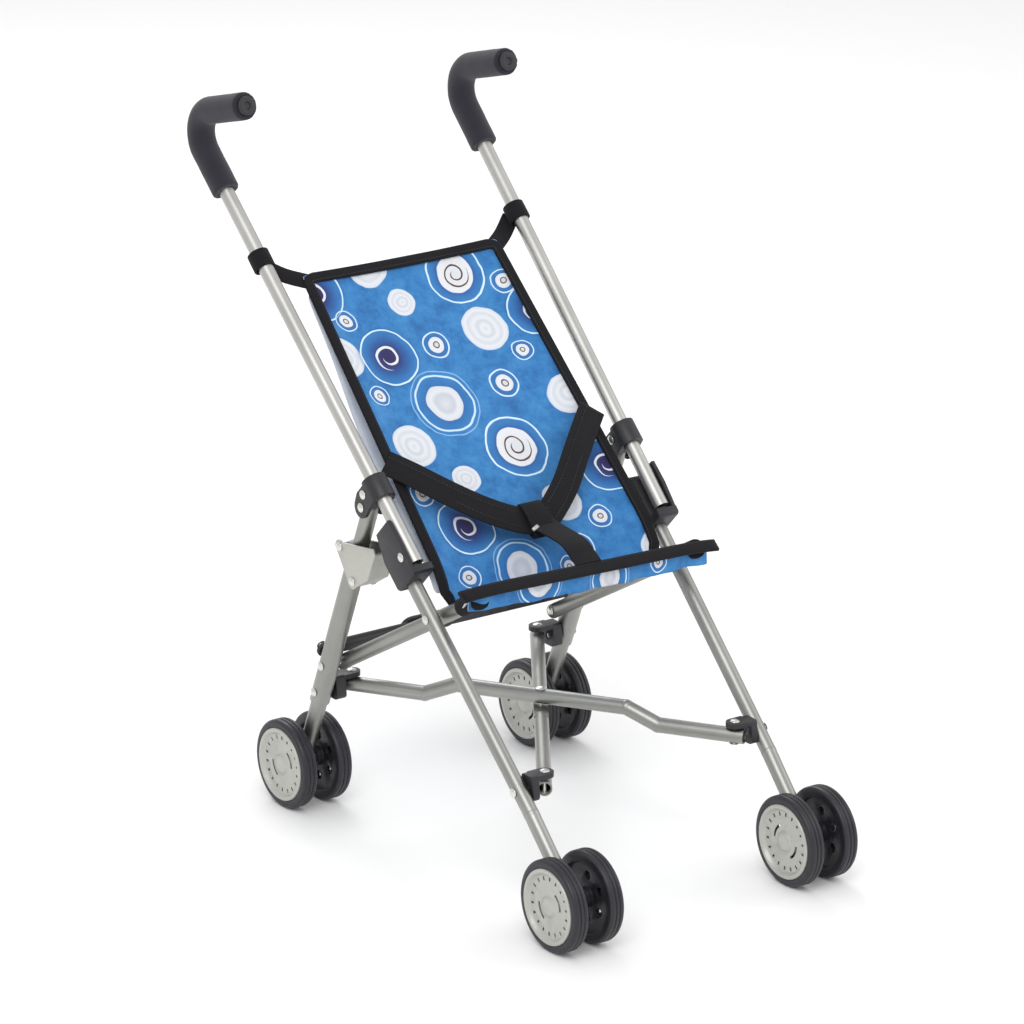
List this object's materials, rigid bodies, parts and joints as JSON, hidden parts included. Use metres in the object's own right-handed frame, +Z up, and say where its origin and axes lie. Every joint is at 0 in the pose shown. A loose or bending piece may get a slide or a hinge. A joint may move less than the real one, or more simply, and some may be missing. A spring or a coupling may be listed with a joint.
{
  "type": "doll stroller",
  "caption": "Folding doll stroller with hooked handles, a printed fabric sling seat with a harness, scissor cross tubes and twin wheels.",
  "frame": {"origin": "on the floor, under the middle of the whole stroller", "axes": "+X to the stroller's right as seen from the front side at -Y, +Y towards its back, +Z up; the front faces -Y"},
  "size_m": [0.283, 0.5294, 0.5651],
  "materials": {
    "aluminium": "pale satin anodised aluminium tube",
    "plastic": "black moulded plastic, lightly textured",
    "foam": "navy-black closed-cell foam",
    "rivet": "plated steel rivet",
    "tyre": "black moulded wheel with a grooved tread",
    "hubcap": "silver-grey moulded plastic",
    "cloth": "printed woven polyester, blue with white and navy rings",
    "webbing": "black woven webbing and binding"
  },
  "bodies": {
    "left_frame": {"handle_tube_left": "aluminium", "grip_left": "foam", "grip_plug_left": "plastic", "collar_left": "plastic", "side_bracket_left": "plastic", "front_leg_left": "aluminium", "frame_rivets_left": "rivet", "front_axle_left": "rivet", "top_strap_left": "webbing", "back_panel": "cloth", "harness": "webbing"},
    "right_frame": {"handle_tube_right": "aluminium", "grip_right": "foam", "grip_plug_right": "plastic", "collar_right": "plastic", "side_bracket_right": "plastic", "front_leg_right": "aluminium", "frame_rivets_right": "rivet", "front_axle_right": "rivet", "top_strap_right": "webbing"},
    "left_rear_leg": {"rear_leg_left": "aluminium", "gusset_left": "aluminium", "rear_rivets_left": "rivet", "rear_axle_left": "rivet"},
    "right_rear_leg": {"rear_leg_right": "aluminium", "gusset_right": "aluminium", "rear_rivets_right": "rivet", "rear_axle_right": "rivet"},
    "front_left_bracket": {"front_bracket_left": "plastic", "front_bracket_rivets_left": "rivet"},
    "front_right_bracket": {"front_bracket_right": "plastic", "front_bracket_rivets_right": "rivet"},
    "rear_left_bracket": {"rear_bracket_left": "plastic", "rear_bracket_rivets_left": "rivet"},
    "rear_right_bracket": {"rear_bracket_right": "plastic", "rear_bracket_rivets_right": "rivet"},
    "cross_tube_straight": {"cross_tube_straight": "aluminium"},
    "cross_tube_bent": {"cross_tube_bent": "aluminium", "centre_bolt": "rivet"},
    "left_seat_rail": {"seat_rail_left": "aluminium", "seat_panel": "cloth"},
    "right_seat_rail": {"seat_rail_right": "aluminium"},
    "lock_brace_left": {"lock_brace_left": "plastic"},
    "lock_brace_right": {"lock_brace_right": "plastic"},
    "front_left_outer_wheel": {"wheel_front_left_outer": "tyre", "hubcap_front_left_outer": "hubcap"},
    "front_left_inner_wheel": {"wheel_front_left_inner": "tyre", "hubcap_front_left_inner": "hubcap"},
    "front_right_outer_wheel": {"wheel_front_right_outer": "tyre", "hubcap_front_right_outer": "hubcap"},
    "front_right_inner_wheel": {"wheel_front_right_inner": "tyre", "hubcap_front_right_inner": "hubcap"},
    "rear_left_outer_wheel": {"wheel_rear_left_outer": "tyre", "hubcap_rear_left_outer": "hubcap"},
    "rear_left_inner_wheel": {"wheel_rear_left_inner": "tyre", "hubcap_rear_left_inner": "hubcap"},
    "rear_right_outer_wheel": {"wheel_rear_right_outer": "tyre", "hubcap_rear_right_outer": "hubcap"},
    "rear_right_inner_wheel": {"wheel_rear_right_inner": "tyre", "hubcap_rear_right_inner": "hubcap"}
  },
  "joints": [
    {"name": "fold", "type": "hinge", "parent": "front_left_bracket", "child": "cross_tube_straight", "pos_m": [-0.09, -0.16345, 0.102], "axis": [0, 0, 1], "range_deg": [0, 26], "deforming": ["back_panel", "seat_panel", "harness"]},
    {"name": "front_left_bolt", "type": "hinge", "parent": "left_frame", "child": "front_left_bracket", "pos_m": [-0.11273, -0.16345, 0.102], "axis": [1, 0, 0], "range_deg": [0, 5.7]},
    {"name": "cross_centre", "type": "hinge", "parent": "cross_tube_straight", "child": "cross_tube_bent", "pos_m": [0, -0.03377, 0.102], "axis": [0, 0, 1], "range_deg": [-52, 0]},
    {"name": "front_right_rivet", "type": "hinge", "parent": "cross_tube_bent", "child": "front_right_bracket", "pos_m": [0.09, -0.16345, 0.102], "axis": [0, 0, 1], "range_deg": [0, 26]},
    {"name": "front_right_bolt", "type": "hinge", "parent": "front_right_bracket", "child": "right_frame", "pos_m": [0.11273, -0.16345, 0.102], "axis": [1, 0, 0], "range_deg": [-5.7, 0]},
    {"name": "left_rear_leg_pivot", "type": "hinge", "parent": "left_frame", "child": "left_rear_leg", "pos_m": [-0.1175, 0.02662, 0.27514], "axis": [1, 0, 0], "range_deg": [0, 18.5]},
    {"name": "rear_left_bolt", "type": "hinge", "parent": "left_rear_leg", "child": "rear_left_bracket", "pos_m": [-0.1175, 0.09592, 0.102], "axis": [1, 0, 0], "range_deg": [-12.8, 0]},
    {"name": "left_rail_pivot", "type": "hinge", "parent": "left_rear_leg", "child": "left_seat_rail", "pos_m": [-0.102, 0.08591, 0.127], "axis": [1, 0, 0], "range_deg": [-4.8, 0]},
    {"name": "left_brace_pivot", "type": "hinge", "parent": "left_rear_leg", "child": "lock_brace_left", "pos_m": [-0.1175, 0.08311, 0.134], "axis": [0, -0.9284, -0.3716], "range_deg": [0, 64]},
    {"name": "right_rear_leg_pivot", "type": "hinge", "parent": "right_frame", "child": "right_rear_leg", "pos_m": [0.1175, 0.02662, 0.27514], "axis": [1, 0, 0], "range_deg": [0, 18.5]},
    {"name": "rear_right_bolt", "type": "hinge", "parent": "right_rear_leg", "child": "rear_right_bracket", "pos_m": [0.1175, 0.09592, 0.102], "axis": [1, 0, 0], "range_deg": [-12.8, 0]},
    {"name": "right_rail_pivot", "type": "hinge", "parent": "right_rear_leg", "child": "right_seat_rail", "pos_m": [0.102, 0.08591, 0.127], "axis": [1, 0, 0], "range_deg": [-4.8, 0]},
    {"name": "right_brace_pivot", "type": "hinge", "parent": "right_rear_leg", "child": "lock_brace_right", "pos_m": [0.1175, 0.08311, 0.134], "axis": [0, -0.9284, -0.3716], "range_deg": [-64, 0]},
    {"name": "front_left_outer_spin", "type": "hinge", "parent": "left_frame", "child": "front_left_outer_wheel", "pos_m": [-0.1272, -0.22867, 0.036], "axis": [1, 0, 0], "continuous": true},
    {"name": "front_left_inner_spin", "type": "hinge", "parent": "left_frame", "child": "front_left_inner_wheel", "pos_m": [-0.0948, -0.22867, 0.036], "axis": [1, 0, 0], "continuous": true},
    {"name": "front_right_outer_spin", "type": "hinge", "parent": "right_frame", "child": "front_right_outer_wheel", "pos_m": [0.1272, -0.22867, 0.036], "axis": [1, 0, 0], "continuous": true},
    {"name": "front_right_inner_spin", "type": "hinge", "parent": "right_frame", "child": "front_right_inner_wheel", "pos_m": [0.0948, -0.22867, 0.036], "axis": [1, 0, 0], "continuous": true},
    {"name": "rear_left_outer_spin", "type": "hinge", "parent": "left_rear_leg", "child": "rear_left_outer_wheel", "pos_m": [-0.1337, 0.12233, 0.036], "axis": [1, 0, 0], "continuous": true},
    {"name": "rear_left_inner_spin", "type": "hinge", "parent": "left_rear_leg", "child": "rear_left_inner_wheel", "pos_m": [-0.1013, 0.12233, 0.036], "axis": [1, 0, 0], "continuous": true},
    {"name": "rear_right_outer_spin", "type": "hinge", "parent": "right_rear_leg", "child": "rear_right_outer_wheel", "pos_m": [0.1337, 0.12233, 0.036], "axis": [1, 0, 0], "continuous": true},
    {"name": "rear_right_inner_spin", "type": "hinge", "parent": "right_rear_leg", "child": "rear_right_inner_wheel", "pos_m": [0.1013, 0.12233, 0.036], "axis": [1, 0, 0], "continuous": true}
  ],
  "couplings": [
    {"joint": "front_left_bolt", "follows": "fold", "ratio": 0.21752},
    {"joint": "cross_centre", "follows": "fold", "ratio": -2},
    {"joint": "front_right_rivet", "follows": "fold", "ratio": 1},
    {"joint": "front_right_bolt", "follows": "fold", "ratio": -0.21752},
    {"joint": "left_rear_leg_pivot", "follows": "fold", "ratio": 0.70813},
    {"joint": "rear_left_bolt", "follows": "fold", "ratio": -0.49061},
    {"joint": "left_rail_pivot", "follows": "fold", "ratio": -0.18188},
    {"joint": "left_brace_pivot", "follows": "fold", "ratio": 2.4609},
    {"joint": "right_rear_leg_pivot", "follows": "fold", "ratio": 0.70813},
    {"joint": "rear_right_bolt", "follows": "fold", "ratio": -0.49061},
    {"joint": "right_rail_pivot", "follows": "fold", "ratio": -0.18188},
    {"joint": "right_brace_pivot", "follows": "fold", "ratio": -2.4609}
  ]
}
